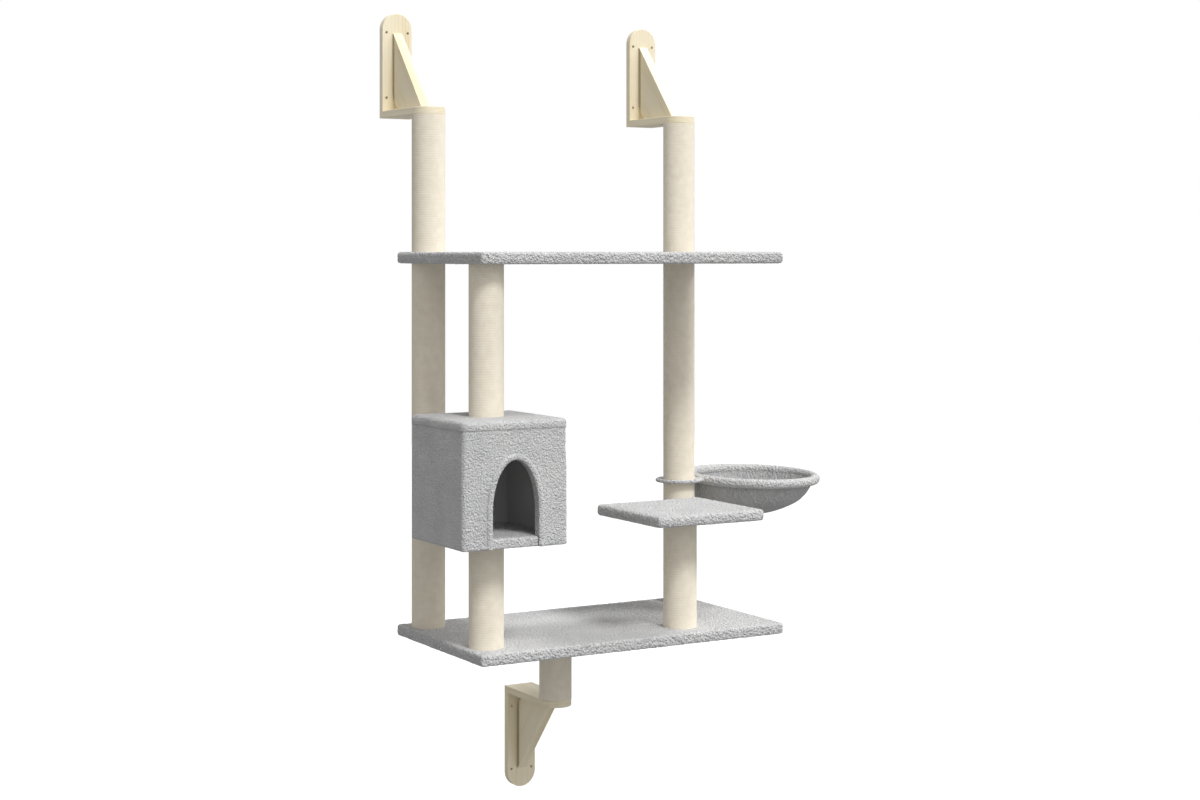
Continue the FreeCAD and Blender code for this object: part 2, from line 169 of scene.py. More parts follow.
def drawDown(piece, level, lowest):
    # the faces that close a level cut are drawn straight down
    editFaces(piece, lambda centre, normal: abs(centre.z - level) < 1e-5 and abs(normal.z) > 0.9)
    bpy.ops.mesh.extrude_region_move(TRANSFORM_OT_translate={"value": (0, 0, lowest - level)})
    objectMode()


def applyModifiers(piece):
    focus(piece)
    for modifier in list(piece.modifiers):
        bpy.ops.object.modifier_apply(modifier=modifier.name)


def applyPlace(piece):
    focus(piece)
    bpy.ops.object.transform_apply(location=True, rotation=True, scale=True)


def addCube(low, high):
    clearSelection()
    size = [b - a for a, b in zip(low, high)]
    middle = [(a + b) / 2 for a, b in zip(low, high)]
    bpy.ops.mesh.primitive_cube_add(size=1, location=middle)
    piece = bpy.context.object
    piece.scale = size
    applyPlace(piece)
    return piece


def cutWith(piece, cutter):
    cut = piece.modifiers.new("cut", "BOOLEAN")
    cut.operation = "DIFFERENCE"
    cut.solver = "EXACT"
    cut.object = cutter
    applyModifiers(piece)
    bpy.data.objects.remove(cutter)


def joinInto(piece, *others):
    focus(piece)
    for other in others:
        other.select_set(True)
    bpy.ops.object.join()


def ruffle(piece, size, height):
    # lifts and lowers the surface a little, as tufts of pile do
    texture = bpy.data.textures.new(piece.name + "Tufts", "CLOUDS")
    texture.noise_scale = size
    texture.noise_depth = 1
    displace = piece.modifiers.new("tufts", "DISPLACE")
    displace.texture = texture
    displace.texture_coords = "LOCAL"
    displace.strength = height
    displace.mid_level = 0.5
    applyModifiers(piece)


def remesh(piece, voxel, smoothing):
    even = piece.modifiers.new("even", "REMESH")
    even.mode = "VOXEL"
    even.voxel_size = voxel
    soften = piece.modifiers.new("soften", "SMOOTH")
    soften.factor = 0.5
    soften.iterations = smoothing
    applyModifiers(piece)


def finishPiece(piece, name, body, material, replaced, angle):
    piece.name = name
    piece.data.name = name
    piece.data.materials.clear()
    piece.data.materials.append(material)
    focus(piece)
    bpy.ops.object.shade_smooth_by_angle(angle=math.radians(angle))
    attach(piece, body)
    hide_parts(*replaced)
    return piece


# the second colour set is the first one darkened: painted shade for the hanging bowl
plush = {
    "flat": ("#c9c9ca", "#cfcfcf", "#d4d4d3"), "shadedHung": ("#b2b2b3", "#b8b8b8", "#bdbdbd"),
    "curlMm": 3.9, "curlDepth": 0.9, "tuftMm": 3.1, "tangleMm": 2.5, "cloudMm": 60, "reliefMm": 3.8,
}


def makePlush(name, colours, drawnOut=1.0, edgeRelief=1.0, coarse=1.0):
    # short-pile polyester plush, sheared and tumbled: one pale grey with no gloss, in small curls
    # that show as light and dark flecks only where a lamp rakes over them; the pile stands open
    # where the cloth is bent round an edge, and its curls are drawn long where the cloth hangs
    material, tree, shader = startMaterial(name, Roughness=0.95, IOR=1.45,
                                           Specular_IOR_Level=0.1, Sheen_Weight=0.15,
                                           Sheen_Roughness=0.5)
    coordinates = addNode(tree, "TexCoord").outputs["Object"]
    place = addNode(tree, "Mapping", {"Vector": coordinates,
                                      "Scale": (1, 1, 1 / drawnOut)}).outputs["Vector"]
    tufts = addNode(tree, "TexNoise", {"Vector": place, "Scale": 1000 / plush["tuftMm"] / coarse,
                                       "Detail": 2.0, "Distortion": 0.8})
    clouds = addNode(tree, "TexNoise", {"Vector": place, "Scale": 1000 / plush["cloudMm"],
                                        "Detail": 1.0})
    leaning = addNode(tree, "VectorMath", {0: tufts.outputs["Color"], 1: (0.5, 0.5, 0.5)},
                      operation="SUBTRACT")
    tangled = addNode(tree, "VectorMath", {0: leaning.outputs[0],
                                           1: (plush["tangleMm"] / 1000,) * 3, 2: place},
                      operation="MULTIPLY_ADD")
    curls = addNode(tree, "TexVoronoi", {"Vector": tangled.outputs[0],
                                         "Scale": 1000 / plush["curlMm"] / coarse})
    height = addNode(tree, "Math", {0: curls.outputs["Distance"], 1: -plush["curlDepth"],
                                    2: tufts.outputs["Fac"]}, operation="MULTIPLY_ADD")
    # full relief on level cloth, and edgeRelief times as much where it turns upright
    facing = addNode(tree, "SeparateXYZ", {0: addNode(tree, "NewGeometry").outputs["Normal"]})
    level = addNode(tree, "Math", {0: facing.outputs["Z"]}, operation="ABSOLUTE")
    opened = addNode(tree, "MapRange", {"Value": level.outputs[0], "From Min": 0.2, "From Max": 0.8,
                                        "To Min": edgeRelief, "To Max": 1.0})
    raised = addNode(tree, "Math", {0: height.outputs[0], 1: opened.outputs["Result"]},
                     operation="MULTIPLY")
    shades = addNode(tree, "Math", {0: tufts.outputs["Fac"], 1: clouds.outputs["Fac"]},
                     operation="ADD")
    halved = addNode(tree, "Math", {0: shades.outputs[0], 1: 0.5}, operation="MULTIPLY")
    ramp = addNode(tree, "ValToRGB", {"Fac": halved.outputs[0]})
    setRamp(ramp, zip((0.36, 0.5, 0.64), colours))
    bump = addNode(tree, "Bump", {"Height": raised.outputs[0], "Strength": 1.0,
                                  "Distance": plush["reliefMm"] / 1000})
    tree.links.new(ramp.outputs["Color"], shader.inputs["Base Color"])
    tree.links.new(bump.outputs["Normal"], shader.inputs["Normal"])
    return material


def makeCord():
    # thin bleached sisal cord wound tight and glued: dry, matt, fine fibres along each turn and two
    # strands laid over each other at a slant
    cord = {
        "shade": "#e0d7c4", "middle": "#e9e0ce", "lit": "#efe7d7",
        "fibreMm": 0.6, "fibreLengthMm": 9, "blotchMm": 16, "strandMm": 3.2, "slant": 35,
        "bumpMm": 0.12,
    }
    material, tree, shader = startMaterial("wound sisal cord", Roughness=0.88, IOR=1.45,
                                           Specular_IOR_Level=0.2, Sheen_Weight=0.12)
    around = addNode(tree, "UVMap", uv_map="around").outputs["UV"]
    long = addNode(tree, "Mapping", {"Vector": around, "Scale": (1000 / cord["fibreLengthMm"],
                                                                 1000 / cord["fibreMm"], 1)})
    fibres = addNode(tree, "TexNoise", {"Vector": long.outputs["Vector"], "Scale": 1.0,
                                        "Detail": 3.0}, noise_dimensions="2D")
    turned = addNode(tree, "Mapping", {"Vector": around,
                                       "Rotation": (0, 0, math.radians(cord["slant"]))})
    strands = addNode(tree, "TexWave", {"Vector": turned.outputs["Vector"], "Distortion": 1.5,
                                        "Scale": waveScale(cord["strandMm"]), "Detail": 1.0},
                      wave_type="BANDS", bands_direction="X")
    place = addNode(tree, "TexCoord").outputs["Object"]
    blotches = addNode(tree, "TexNoise", {"Vector": place, "Scale": 1000 / cord["blotchMm"],
                                          "Detail": 1.0})
    mixed = addNode(tree, "Math", {0: fibres.outputs["Fac"], 1: blotches.outputs["Fac"]},
                    operation="ADD")
    halved = addNode(tree, "Math", {0: mixed.outputs[0], 1: 0.5}, operation="MULTIPLY")
    ramp = addNode(tree, "ValToRGB", {"Fac": halved.outputs[0]})
    setRamp(ramp, [(0.26, cord["shade"]), (0.5, cord["middle"]), (0.74, cord["lit"])])
    height = addNode(tree, "Math", {0: fibres.outputs["Fac"], 1: strands.outputs["Fac"]},
                     operation="ADD")
    bump = addNode(tree, "Bump", {"Height": height.outputs[0], "Strength": 0.6,
                                  "Distance": cord["bumpMm"] / 1000})
    tree.links.new(ramp.outputs["Color"], shader.inputs["Base Color"])
    tree.links.new(bump.outputs["Normal"], shader.inputs["Normal"])
    return material


def makePlywood(name, grainTurn, jointShade=0.0):
    # birch plywood, sanded and clear coated: a pale straw face with a faint gloss and soft darker
    # growth lines along the grain
    plywood = {
        "early": "#efe5cb", "middle": "#e9ddbf", "late": "#d8c7a0", "lineShare": 0.2,
        "lineMm": 8, "stretch": 12, "poreMm": 0.8, "bumpMm": 0.08, "cloudsPerMetre": 30,
        # the last colour here is painted shade for the gap where a brace meets the wall plate
        "jointShade": "#7b6c4a", "seamFrom": -0.0265, "seamTo": -0.0225,
    }
    material, tree, shader = startMaterial(name, Roughness=0.5, IOR=1.5, Coat_Weight=0.12,
                                           Coat_Roughness=0.35)
    place = addNode(tree, "TexCoord").outputs["Object"]
    turned = addNode(tree, "Mapping", {"Vector": place, "Rotation": grainTurn})
    along = addNode(tree, "Mapping", {"Vector": turned.outputs["Vector"],
                                      "Scale": (1, 1, 1 / plywood["stretch"])}).outputs["Vector"]
    lines = addNode(tree, "TexWave", {"Vector": along, "Distortion": 3.5,
                                      "Scale": waveScale(plywood["lineMm"]),
                                      "Detail": 2.0, "Detail Scale": 1.5},
                    wave_type="RINGS", rings_direction="Z")
    pores = addNode(tree, "TexNoise", {"Vector": along, "Detail": 2.0,
                                       "Scale": 1000 / plywood["poreMm"]})
    clouds = addNode(tree, "TexNoise", {"Vector": along, "Scale": plywood["cloudsPerMetre"],
                                        "Detail": 2.0})
    faint = addNode(tree, "Math", {0: lines.outputs["Fac"], 1: plywood["lineShare"]},
                    operation="MULTIPLY")
    blended = addNode(tree, "Math", {0: faint.outputs[0], 1: clouds.outputs["Fac"]}, operation="ADD")
    ramp = addNode(tree, "ValToRGB", {"Fac": blended.outputs[0]})
    setRamp(ramp, [(0.35, plywood["early"]), (0.7, plywood["middle"]), (1.0, plywood["late"])])
    bump = addNode(tree, "Bump", {"Height": pores.outputs["Fac"], "Strength": 0.5,
                                  "Distance": plywood["bumpMm"] / 1000})
    # painted shade: a brace's sides are darkened where it meets the wall plate, standing in for the
    # shadow in the gap between them, from seamFrom to seamTo in depth
    depth = addNode(tree, "SeparateXYZ", {0: place})
    near = addNode(tree, "MapRange", {"Value": depth.outputs["Y"], "From Min": plywood["seamFrom"],
                                      "From Max": plywood["seamTo"], "To Min": 0.0, "To Max": jointShade})
    facing = addNode(tree, "SeparateXYZ", {0: addNode(tree, "NewGeometry").outputs["Normal"]})
    sideways = addNode(tree, "Math", {0: facing.outputs["X"], 1: 2.0}, operation="POWER")
    jointShadeShare = addNode(tree, "Math", {0: near.outputs["Result"], 1: sideways.outputs[0]},
                    operation="MULTIPLY")
    withJointShade = addNode(tree, "MixRGB", {"Fac": jointShadeShare.outputs[0], "Color1": ramp.outputs["Color"],
                                       "Color2": hexToLinear(plywood["jointShade"])})
    tree.links.new(withJointShade.outputs["Color"], shader.inputs["Base Color"])
    tree.links.new(bump.outputs["Normal"], shader.inputs["Normal"])
    return material


def makeMottled(name, shade, lit, grainMm, bumpMm, **shader):
    # finishes that differ in their two colours, size of grain and gloss only
    material, tree, principled = startMaterial(name, **shader)
    place = addNode(tree, "TexCoord").outputs["Object"]
    grain = addNode(tree, "TexNoise", {"Vector": place, "Scale": 1000 / grainMm, "Detail": 3.0})
    ramp = addNode(tree, "ValToRGB", {"Fac": grain.outputs["Fac"]})
    setRamp(ramp, [(0.35, shade), (0.65, lit)])
    bump = addNode(tree, "Bump", {"Height": grain.outputs["Fac"], "Strength": 0.4,
                                  "Distance": bumpMm / 1000})
    tree.links.new(ramp.outputs["Color"], principled.inputs["Base Color"])
    tree.links.new(bump.outputs["Normal"], principled.inputs["Normal"])
    return material


plushMaterial = makePlush("short pile plush", plush["flat"])
boardPlush = makePlush("short pile plush, bent round edges", plush["flat"], edgeRelief=1.5,
                       coarse=1.35)
# the bowl's plush takes the darker colours, painted shade
shadedHungPlush = makePlush("short pile plush, hung, painted shade", plush["shadedHung"], drawnOut=2.6, coarse=1.2)
cordMaterial = makeCord()
uprightWood = makePlywood("clear coated birch plywood, grain up", (0, 0, 0))
outwardWood = makePlywood("clear coated birch plywood, grain out", (math.pi / 2, 0, 0))
# the two braces' plywood carries painted shade along its joint with the wall plate
slopingWood = makePlywood("clear coated birch plywood, grain down", (math.radians(40), 0, 0),
                          jointShade=0.75)
risingWood = makePlywood("clear coated birch plywood, grain rising", (math.radians(-40), 0, 0),
                         jointShade=0.75)
# needled polyester felt: soft and matt with a faint mottle, and no weave
feltMaterial = makeMottled("needled felt lining", "#c4c4c4", "#cdcdcd", 1.5, 0.3, Roughness=0.95,
                           Specular_IOR_Level=0.1, Sheen_Weight=0.1)
# raw particle board: tan pressed chips, dry
boardMaterial = makeMottled("particle board", "#8f7046", "#b6976a", 2.5, 0.3, Roughness=0.8)
# turned beech left raw: warm tan with a close grain
plugMaterial = makeMottled("turned beech", "#b48f62", "#cda97b", 3.0, 0.1, Roughness=0.6)
# wound and glued brown paper: dull, nearly one colour
tubeMaterial = makeMottled("wound paper tube", "#a78761", "#bb9b74", 1.5, 0.1, Roughness=0.85)
# steel with bright zinc plate: cold grey metal, a little blurred by the plating
zincMaterial = makeMottled("bright zinc plate", "#b4b7ba", "#cbced0", 1.0, 0.02, Metallic=1.0,
                           Roughness=0.32)
# drawn steel wire, lacquered: near black with a soft gloss
wireMaterial = makeMottled("black lacquered wire", "#17181a", "#232426", 2.0, 0.02, Roughness=0.4)
print("materials made")


# the CAD nodes that stay, by the endings of their names; the first that fits counts, and every
# other node is zinc-plated hardware
wornBy = {
    "wall_plate": uprightWood, "arm": outwardWood, "lower_gusset": risingWood,
    "gusset": slopingWood, "tube": tubeMaterial, "core": boardMaterial, "panel": boardMaterial,
    "lining": feltMaterial, "plugs": plugMaterial, "wire": wireMaterial,
}
for nodeName, node in frame["nodes"].items():
    found = [material for ending, material in wornBy.items() if nodeName.endswith(ending)]
    node.data.materials.clear()
    node.data.materials.append(found[0] if found else zincMaterial)
print("carried nodes dressed")


# the posts' cord, wound round each tube
winding = {"pitch": 0.005, "groove": 0.00018, "steps": 48, "sideCount": 8, "merge": 0.00001}


def windCord(nodeName):
    low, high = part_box(nodeName)
    centreX, centreY = (low.x + high.x) / 2, (low.y + high.y) / 2
    radius = (high.x - low.x) / 2
    pitch = winding["pitch"]
    clearSelection()
    # one turn's outer half in section, flattened as the pull of the winding does
    bpy.ops.mesh.primitive_circle_add(vertices=winding["sideCount"], radius=pitch / 2,
                                      rotation=(math.pi / 2, 0, 0))
    piece = bpy.context.object
    applyPlace(piece)
    editPoints(piece, lambda point: point.x < -winding["merge"])
    bpy.ops.mesh.delete(type="VERT")
    bpy.ops.mesh.select_all(action="SELECT")
    squeeze = winding["groove"] / (pitch / 2)
    bpy.ops.transform.resize(value=(squeeze, 1, 1), center_override=(0, 0, 0))
    bpy.ops.transform.translate(value=(radius - winding["groove"], 0, pitch / 2))
    objectMode()
    screw = piece.modifiers.new("winding", "SCREW")
    screw.axis = "Z"
    screw.screw_offset = pitch
    screw.iterations = math.ceil((high.z - low.z) / pitch) + 2     # one spare turn at each end
    screw.steps = screw.render_steps = winding["steps"]
    screw.use_smooth_shade = True
    applyModifiers(piece)
    editAll(piece)
    bpy.ops.mesh.remove_doubles(threshold=winding["merge"])
    bpy.ops.transform.translate(value=(centreX, centreY, low.z - pitch))
    cutLevel(low.z, -1)
    cutLevel(high.z, 1)
    bpy.ops.mesh.select_all(action="SELECT")
    bpy.ops.mesh.normals_make_consistent(inside=False)
    objectMode()
    # length round the post and height up it, in metres, for the fibres to follow
    layer = piece.data.uv_layers.new(name="around")
    points = piece.data.vertices
    for face in piece.data.polygons:
        faceAngle = math.atan2(face.center.y - centreY, face.center.x - centreX)
        for loop in face.loop_indices:
            place = points[piece.data.loops[loop].vertex_index].co
            angle = math.atan2(place.y - centreY, place.x - centreX)
            angle += 2 * math.pi * round((faceAngle - angle) / (2 * math.pi))
            layer.data[loop].uv = (angle * radius, place.z)
    finishPiece(piece, nodeName.replace("_wrap", "_cord"), "frame", cordMaterial,
                [nodeName], 80)


for nodeName in sorted(frame["nodes"]):
    if nodeName.endswith("_wrap"):
        windCord(nodeName)
print("posts wound")


def softBlock(low, high, shape):
    # a slab with rounded corners and edges, evenly meshed, with its pile's tufts
    grow = Vector((shape["proud"],) * 3)
    low, high = low - grow, high + grow
    piece = addCube(low, high)
    tall = high.z - low.z
    editEdges(piece, lambda a, b: abs(a.z - b.z) > 0.5 * tall)
    bpy.ops.mesh.bevel(offset=shape["corner"], segments=5, affect="EDGES")
    for level, edge in ((high.z, shape["topEdge"]), (low.z, shape["lowEdge"])):
        editEdges(piece, lambda a, b: abs(a.z - level) < 1e-6 and abs(b.z - level) < 1e-6)
        bpy.ops.mesh.bevel(offset=edge, segments=4, affect="EDGES")
    objectMode()
    remesh(piece, shape["voxel"], 1)
    ruffle(piece, shape["tuft"], shape["pile"])
    return piece


# the boards' plush, pulled tight round each slab
board = {
    "corner": 0.006, "topEdge": 0.0045, "lowEdge": 0.0045, "proud": 0.0012, "left": 0.0,
    "right": 0.0, "voxel": 0.0028, "tuft": 0.005, "pile": 0.0022,
}
# the small platform's is rounder, and stands off a little at its left and right
platform = {**board, "corner": 0.011, "topEdge": 0.0075, "lowEdge": 0.0075, "left": 0.004,
            "right": 0.003}
for nodeName, cover in (("bottom_board_cover", board), ("upper_board_cover", board),
                        ("platform_cover", platform)):
    low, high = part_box(nodeName)
    piece = softBlock(low - Vector((cover["left"], 0, 0)), high + Vector((cover["right"], 0, 0)),
                      cover)
    finishPiece(piece, nodeName.replace("_cover", "_plush"), "frame", boardPlush,
                [nodeName], 180)
print("boards covered")


housePlush = {"voxel": 0.0028, "tuft": 0.0045, "pile": 0.0010}
doorway = {"width": 0.106, "straight": 0.071, "top": 0.173, "reveal": 0.003,
           "cutBelow": 0.01, "cutPast": 0.02}
bodyLow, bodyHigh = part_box("house_body_cover")
houseMiddle = (bodyLow + bodyHigh) / 2
doorSpring = bodyLow.z + doorway["straight"]     # where the doorway's sides turn into its arch


def doorBlock(grow, lowest, depthFrom, depthTo):
    # the doorway's shape as a block: half an ellipse drawn down to its foot
    clearSelection()
    bpy.ops.mesh.primitive_cylinder_add(vertices=96, radius=1, depth=1, rotation=(math.pi / 2, 0, 0))
    piece = bpy.context.object
    piece.scale = ((doorway["width"] + 2 * grow) / 2, doorway["top"] + grow - doorway["straight"],
                   depthTo - depthFrom)
    piece.location = (houseMiddle.x, (depthFrom + depthTo) / 2, doorSpring)
    applyPlace(piece)
    editAll(piece)
    cutLevel(doorSpring, -1)
    drawDown(piece, doorSpring, lowest)
    return piece


houseBody = {
    **housePlush, "corner": 0.008, "topEdge": 0.0025, "lowEdge": 0.0025, "proud": 0.0004,
    "panelInset": 0.003, "tuck": 0.002, "slackRight": 0.0024, "slackLeft": 0.0008,
    "slackFrom": 0.03, "slackOver": 0.05,
}
# the body's plush is tucked a little way up behind the lid's
piece = softBlock(bodyLow, bodyHigh + Vector((0, 0, houseBody["tuck"])), houseBody)
for vertex in piece.data.vertices:
    # below the lid the cloth stands off its panels a little
    drop = bodyHigh.z - houseBody["slackFrom"] - vertex.co.z
    share = max(0, min(1, drop / houseBody["slackOver"]))
    across = (vertex.co.x - houseMiddle.x) / (bodyHigh.x - houseMiddle.x)
    slack = houseBody["slackRight"] if across > 0 else houseBody["slackLeft"]
    vertex.co.x += slack * across * share * share * (3 - 2 * share)
inset = Vector((houseBody["panelInset"], houseBody["panelInset"], -doorway["cutPast"]))
cutWith(piece, addCube(bodyLow + inset, bodyHigh - inset))
cutWith(piece, doorBlock(0, bodyLow.z - doorway["cutBelow"], bodyLow.y - doorway["cutPast"],
                         bodyLow.y + doorway["cutPast"]))
finishPiece(piece, "house_body_plush", "frame", plushMaterial, ["house_body_cover"], 50)

houseRoof = {**housePlush, "corner": 0.009, "topEdge": 0.008, "lowEdge": 0.003, "proud": 0.0008}
piece = softBlock(*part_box("house_roof_cover"), houseRoof)
finishPiece(piece, "house_roof_plush", "frame", plushMaterial, ["house_roof_cover"], 180)

houseFloor = {**housePlush, "corner": 0.003, "topEdge": 0.0045, "lowEdge": 0.002, "proud": 0.0}
piece = softBlock(*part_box("house_floor_cover"), houseFloor)
finishPiece(piece, "house_floor_plush", "frame", plushMaterial, ["house_floor_cover"], 180)

roll = {"width": 0.013, "proud": 0.0042, "behind": 0.002, "voxel": 0.0014, "tuft": 0.0045,
        "pile": 0.0007}


def makeRoll():
    # the plush edge rolled round the doorway, and the strip that lines the panel's cut edge
    front, back = bodyLow.y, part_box("house_arch_trim")[1].y
    halfWidth = roll["width"] / 2
    across = doorway["width"] / 2 - doorway["reveal"] + halfWidth
    rise = doorway["top"] - doorway["reveal"] - doorway["straight"] + halfWidth
    thin = 0.05     # the ring starts with this section, and is then scaled to the roll's
    clearSelection()
    bpy.ops.mesh.primitive_torus_add(major_segments=96, minor_segments=16, major_radius=1,
                                     minor_radius=thin, rotation=(math.pi / 2, 0, 0))
    piece = bpy.context.object
    applyPlace(piece)
    for vertex in piece.data.vertices:
        x, y, z = vertex.co
        angle = math.atan2(z, x)
        away = math.hypot(x, z) - 1
        bulge = y / thin * (roll["proud"] if y < 0 else roll["behind"])
        # the ellipse's own outward direction keeps the roll one width all the way round
        outward = Vector((math.cos(angle) / across, math.sin(angle) / rise)).normalized()
        reach = away / thin * halfWidth
        vertex.co = (houseMiddle.x + across * math.cos(angle) + outward.x * reach, front + bulge,
                     doorSpring + rise * math.sin(angle) + outward.y * reach)
    editAll(piece)
    cutLevel(doorSpring, -1)
    drawDown(piece, doorSpring, bodyLow.z)
    strip = doorBlock(0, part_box("house_floor_cover")[1].z, front, back)
    cutWith(strip, doorBlock(-doorway["reveal"], bodyLow.z - doorway["cutBelow"],
                             front - doorway["cutPast"], back + doorway["cutPast"]))
    joinInto(piece, strip)
    remesh(piece, roll["voxel"], 2)
    ruffle(piece, roll["tuft"], roll["pile"])
    return piece


piece = finishPiece(makeRoll(), "house_arch_roll", "frame", plushMaterial,
                    ["house_arch_trim"], 180)

lining = {"felt": 0.0014, "cuts": 16, "waveSize": 0.05, "waveHeight": 0.0006, "doorDepth": 0.03}
low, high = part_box("house_lining")
felt = lining["felt"]
piece = addCube(low, high)
editFaces(piece, lambda centre, normal: True)
bpy.ops.mesh.subdivide(number_cuts=lining["cuts"])
objectMode()
ruffle(piece, lining["waveSize"], lining["waveHeight"])
cutWith(piece, addCube(low + Vector((felt, felt, -doorway["cutPast"])),
                       high - Vector((felt, felt, felt))))
cutWith(piece, doorBlock(0, bodyLow.z - doorway["cutBelow"], bodyLow.y - doorway["cutPast"],
                         bodyLow.y + lining["doorDepth"]))
finishPiece(piece, "house_felt_lining", "frame", feltMaterial, ["house_lining"], 30)
print("house covered")


basket = {
    "droop": math.radians(0.9), "tilt": math.radians(1.6), "wireRadius": 0.0025,
    "rimRadius": 0.144, "sleeve": 0.0105, "loopRadius": 0.048, "loopSleeve": 0.0043, "web": 0.0025,
    "bore": 0.0356, "boreDepth": 0.02, "voxel": 0.0017, "tuft": 0.005, "pile": 0.0011,
}
hinge = [joint for joint in frame["joints"] if joint["name"] == "basket_swivel"][0]
pivot = Vector(hinge["pos_m"])
# the hoop's wire and the small loop's touch here, and the basket droops from this point
touch = Vector((pivot.x + basket["loopRadius"] + basket["wireRadius"], pivot.y, pivot.z))
rimCentre = touch + Vector((basket["wireRadius"] + basket["rimRadius"], 0, 0))
droopTurn = (Matrix.Translation(touch) @ Matrix.Rotation(basket["droop"], 4, "Y")
             @ Matrix.Rotation(basket["tilt"], 4, "X") @ Matrix.Translation(-touch))


def makeRim():
    # the big ring and the small one, with a flat web across the small one, bored for the post
    clearSelection()
    bpy.ops.mesh.primitive_torus_add(location=rimCentre, major_segments=144, minor_segments=20,
                                     major_radius=basket["rimRadius"],
                                     minor_radius=basket["sleeve"])
    rim = bpy.context.object
    applyPlace(rim)
    rim.data.transform(droopTurn)
    bpy.ops.mesh.primitive_torus_add(location=pivot, major_segments=96, minor_segments=16,
                                     major_radius=basket["loopRadius"],
                                     minor_radius=basket["loopSleeve"])
    loop = bpy.context.object
    applyPlace(loop)
    bpy.ops.mesh.primitive_cylinder_add(location=pivot, vertices=96, radius=basket["loopRadius"],
                                        depth=2 * basket["web"])
    web = bpy.context.object
    applyPlace(web)
    bpy.ops.mesh.primitive_cylinder_add(location=pivot, vertices=96, radius=basket["bore"],
                                        depth=basket["boreDepth"])
    bore = bpy.context.object
    applyPlace(bore)
    cutWith(web, bore)
    joinInto(rim, loop, web)
    remesh(rim, basket["voxel"], 2)
    ruffle(rim, basket["tuft"], basket["pile"])
    return rim


bowl = {
    "radius": 0.1425, "depth": 0.086, "side": 0.065, "wall": 0.006, "rings": 48, "spokes": 180,
    "rimShare": 0.995, "pullFrom": 0.35, "gathers": 30, "gatherHeight": 0.0007, "gatherDrift": 1.3,
    "plain": 0.02, "sagBack": 0.0125, "sagTowards": (-0.866, 0.5), "drawnIn": 0.0064,
    "drawnSide": math.radians(239), "tuft": 0.005, "pile": 0.0013,
}


def bowlProfile(share):
    # radius and height of the bowl's outside, from the bottom (0) to the rim (1): a wide arc, then
    # a tighter one up the side
    side, radius, depth = bowl["side"], bowl["radius"], bowl["depth"]
    bottom = (radius ** 2 + depth ** 2 - 2 * radius * side) / (2 * (depth - side))
    lean = math.atan2(radius - side, bottom - depth)
    bottomArc, sideArc = bottom * lean, side * (math.pi / 2 - lean)
    along = share * (bottomArc + sideArc)
    if along < bottomArc:
        turn = along / bottom
        return bottom * math.sin(turn), bottom - depth - bottom * math.cos(turn)
    turn = lean + (along - bottomArc) / side
    return radius - side + side * math.sin(turn), -side * math.cos(turn)


def makeBowl():
    clearSelection()
    bpy.ops.mesh.primitive_uv_sphere_add(segments=bowl["spokes"], ring_count=2 * bowl["rings"],
                                         radius=1)
    piece = bpy.context.object
    editFaces(piece, lambda centre, normal: centre.z > 0)
    bpy.ops.mesh.delete(type="FACE")
    objectMode()
    for vertex in piece.data.vertices:
        angle = math.atan2(vertex.co.y, vertex.co.x)
        # the plush meets the rim's roll at its middle
        share = bowl["rimShare"] * math.acos(max(-1, min(1, -vertex.co.z))) / (math.pi / 2)
        radius, height = bowlProfile(share)
        # small gathers under the rim, unevenly spaced, that run out towards the bottom
        pull = max(0, share - bowl["pullFrom"]) / (1 - bowl["pullFrom"])
        wave = bowl["gathers"] * angle + bowl["gatherDrift"] * math.sin(3 * angle)
        gather = bowl["gatherHeight"] * pull * math.sin(wave)
        if radius > bowl["plain"]:
            radius -= bowl["gatherHeight"] - gather
        # drawn in a little on the side that swings past the small platform
        radius -= bowl["drawnIn"] * max(0, math.cos(angle - bowl["drawnSide"])) ** 2 * pull
        # the cloth hangs back towards the wall and the post, lowest a little behind its middle
        back = bowl["sagBack"] * math.sin(math.pi * min(1, -height / bowl["depth"]) ** 0.7 / 2)
        aside, behind = (back * way for way in bowl["sagTowards"])
        vertex.co = rimCentre + Vector((radius * math.cos(angle) + aside,
                                        radius * math.sin(angle) + behind, height))
    piece.data.transform(droopTurn)
    ruffle(piece, bowl["tuft"], bowl["pile"])
    wall = piece.modifiers.new("wall", "SOLIDIFY")
    wall.thickness = bowl["wall"]
    wall.offset = -1
    applyModifiers(piece)
    return piece


piece = finishPiece(makeRim(), "basket_rim_plush", "basket", boardPlush,
                    ["basket_rim_sleeve", "basket_loop_sleeve"], 180)
piece = finishPiece(makeBowl(), "basket_bowl_plush", "basket", shadedHungPlush,
                    ["basket_bowl"], 180)
print("basket covered")


# each lamp has its strength, its spread in degrees and the direction that it stands in
studio = {
    "floorDrop": 0.55, "floorRadius": 14, "floorGlow": 0.8, "floorColour": "#8f8f8f",
    "ambient": 0.45,
    "lamps": {
        "front lamp": (0.60, 16, (0.02, -0.66, 0.75)),
        "side lamp": (0.42, 16, (0.62, -0.10, 0.78)),
        "fill lamp": (0.20, 60, (0.15, -0.88, 0.45)),
    },
}


def makeFloor():
    # a matt floor that takes the shadow, and glows a little where the camera sees it
    clearSelection()
    bpy.ops.mesh.primitive_circle_add(vertices=96, radius=studio["floorRadius"], fill_type="NGON",
                                      location=(0, 0, cadBox[0][2] - studio["floorDrop"]))
    floor = bpy.context.object
    floor.name = "floor"
    applyPlace(floor)
    material, tree, shader = startMaterial("pale floor", Roughness=0.9, Specular_IOR_Level=0.1)
    seen = addNode(tree, "LightPath")
    glow = addNode(tree, "Math", {0: seen.outputs["Is Camera Ray"], 1: studio["floorGlow"]},
                   operation="MULTIPLY")
    shader.inputs["Base Color"].default_value = hexToLinear(studio["floorColour"])
    shader.inputs["Emission Color"].default_value = (1, 1, 1, 1)
    tree.links.new(glow.outputs[0], shader.inputs["Emission Strength"])
    floor.data.materials.append(material)


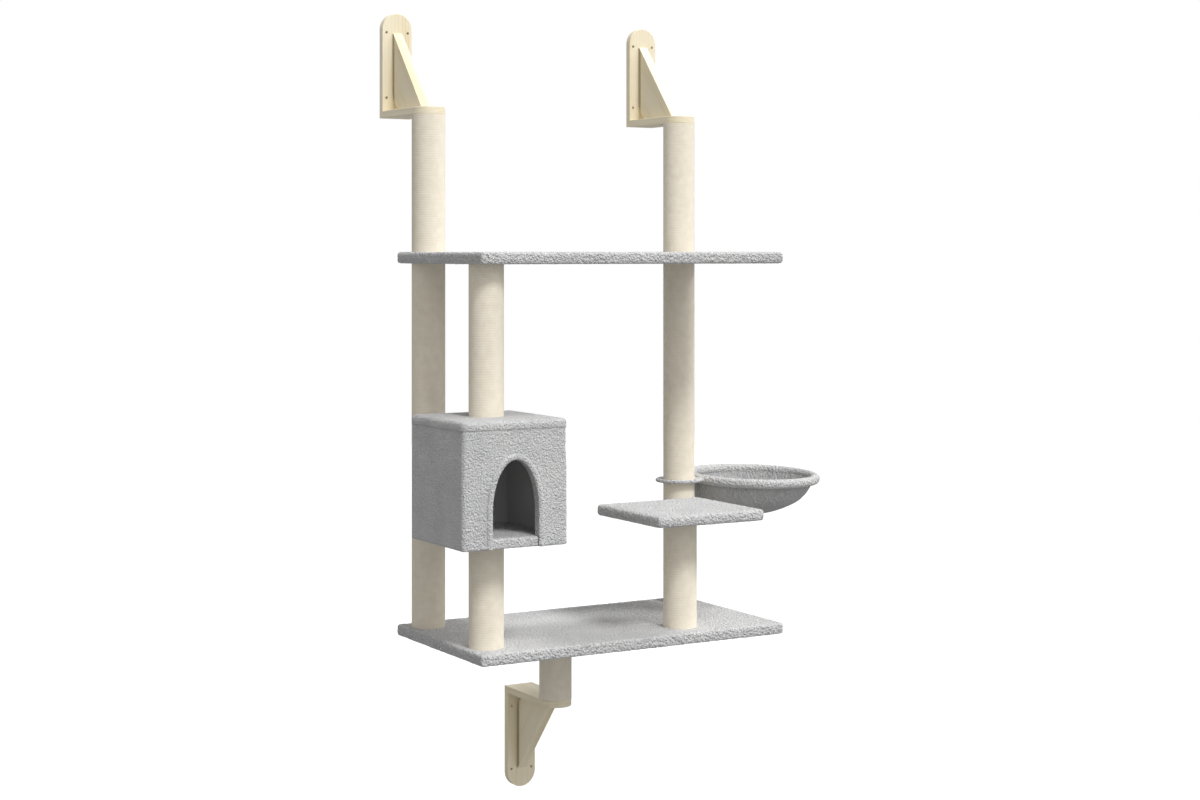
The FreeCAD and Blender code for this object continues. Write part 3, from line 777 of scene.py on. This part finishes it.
def makeWorld():
    # white to the camera and in metal and glass, and a plain level of light on the object
    world = bpy.data.worlds.new("studio")
    bpy.context.scene.world = world
    world.use_nodes = True
    tree = world.node_tree
    background = tree.nodes["Background"]
    seen = addNode(tree, "LightPath")
    sharp = addNode(tree, "Math", {0: seen.outputs["Is Camera Ray"],
                                   1: seen.outputs["Is Glossy Ray"]}, operation="MAXIMUM")
    clear = addNode(tree, "Math", {0: sharp.outputs[0], 1: seen.outputs["Is Transmission Ray"]},
                    operation="MAXIMUM")
    strength = addNode(tree, "MapRange", {"Value": clear.outputs[0], "To Min": studio["ambient"],
                                          "To Max": 1.0})
    background.inputs["Color"].default_value = (1, 1, 1, 1)
    tree.links.new(strength.outputs["Result"], background.inputs["Strength"])


def makeLamps():
    for name, (power, spread, towards) in studio["lamps"].items():
        clearSelection()
        bpy.ops.object.light_add(type="SUN")
        lamp = bpy.context.object
        lamp.name = name
        lamp.data.energy = power * math.pi
        lamp.data.angle = math.radians(spread)
        lamp.rotation_euler = Vector(towards).to_track_quat("Z", "Y").to_euler()


# place in metres, turn in degrees, and the photograph's own frame in pixels
camera = {
    "place": (-2.1609, -4.0512, 1.0756), "turn": 29.95, "focalPixels": 2060, "axisX": 585.7,
    "axisY": 251.9, "pictureWide": 1200, "pictureHigh": 800, "sensor": 36, "farthest": 60,
}


def makeCamera():
    clearSelection()
    bpy.ops.object.camera_add(location=camera["place"],
                              rotation=(math.pi / 2, 0, -math.radians(camera["turn"])))
    view = bpy.context.object
    wide = camera["pictureWide"]
    view.data.sensor_fit = "HORIZONTAL"
    view.data.sensor_width = camera["sensor"]
    view.data.lens = camera["sensor"] * camera["focalPixels"] / wide
    view.data.shift_x = (wide / 2 - camera["axisX"]) / wide
    view.data.shift_y = -(camera["pictureHigh"] / 2 - camera["axisY"]) / wide
    view.data.clip_end = camera["farthest"]
    bpy.context.scene.camera = view


makeFloor()
makeWorld()
makeLamps()
makeCamera()
bpy.context.scene.view_settings.view_transform = "Standard"
print("studio and camera ready")
